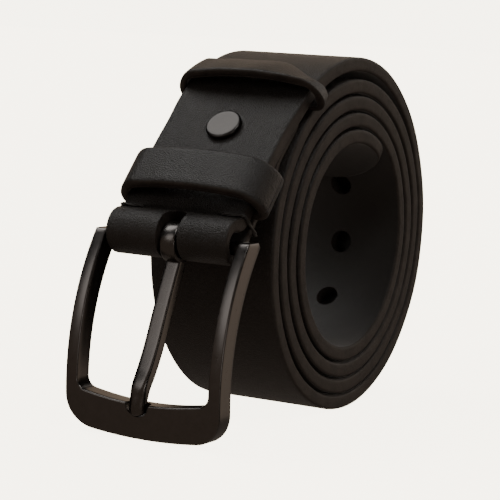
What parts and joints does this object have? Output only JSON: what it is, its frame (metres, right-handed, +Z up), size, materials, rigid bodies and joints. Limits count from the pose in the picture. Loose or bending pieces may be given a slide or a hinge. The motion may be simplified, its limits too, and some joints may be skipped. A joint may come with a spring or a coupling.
{
  "type": "leather belt",
  "caption": "Rolled leather belt with a curved single-prong buckle, two leather keepers and a screw through the folded end.",
  "frame": {"origin": "middle of the belt's footprint, on the surface that the coil and the buckle's lower edge stand on", "axes": "+X across the strap, +Y from the buckle towards the back of the coil, +Z up"},
  "size_m": [0.0466, 0.1298, 0.1004],
  "materials": {
    "strap_leather": "smooth black full-grain leather with a soft sheen",
    "keeper_leather": "smooth black leather, slightly glossier than the strap",
    "staple_steel": "plain wire",
    "screw_metal": "satin dark grey",
    "thread": "waxed black thread",
    "buckle_metal": "satin gunmetal",
    "prong_metal": "satin gunmetal"
  },
  "bodies": {
    "belt": {"strap": "strap_leather", "lower_keeper": "keeper_leather", "lower_keeper_staple": "staple_steel", "screw_post": "screw_metal", "back_screw": "screw_metal", "tack_left": "thread", "tack_right": "thread"},
    "sliding_keeper": {"upper_keeper": "keeper_leather", "upper_keeper_staple": "staple_steel"},
    "buckle": {"buckle_frame": "buckle_metal", "buckle_pin": "buckle_metal"},
    "tongue": {"prong": "prong_metal"}
  },
  "joints": [
    {"name": "buckle_swing", "type": "hinge", "parent": "belt", "child": "buckle", "pos_m": [0, -0.05013, 0.05075], "axis": [-1, 0, 0], "range_deg": [-8, 85]},
    {"name": "prong_swing", "type": "hinge", "parent": "buckle", "child": "tongue", "pos_m": [0, -0.05013, 0.05075], "axis": [-1, 0, 0], "range_deg": [0, 70]},
    {"name": "keeper_slide", "type": "hinge", "parent": "belt", "child": "sliding_keeper", "pos_m": [0, 0.01515, 0.04831], "axis": [1, 0, 0], "range_deg": [-12, 3]}
  ]
}
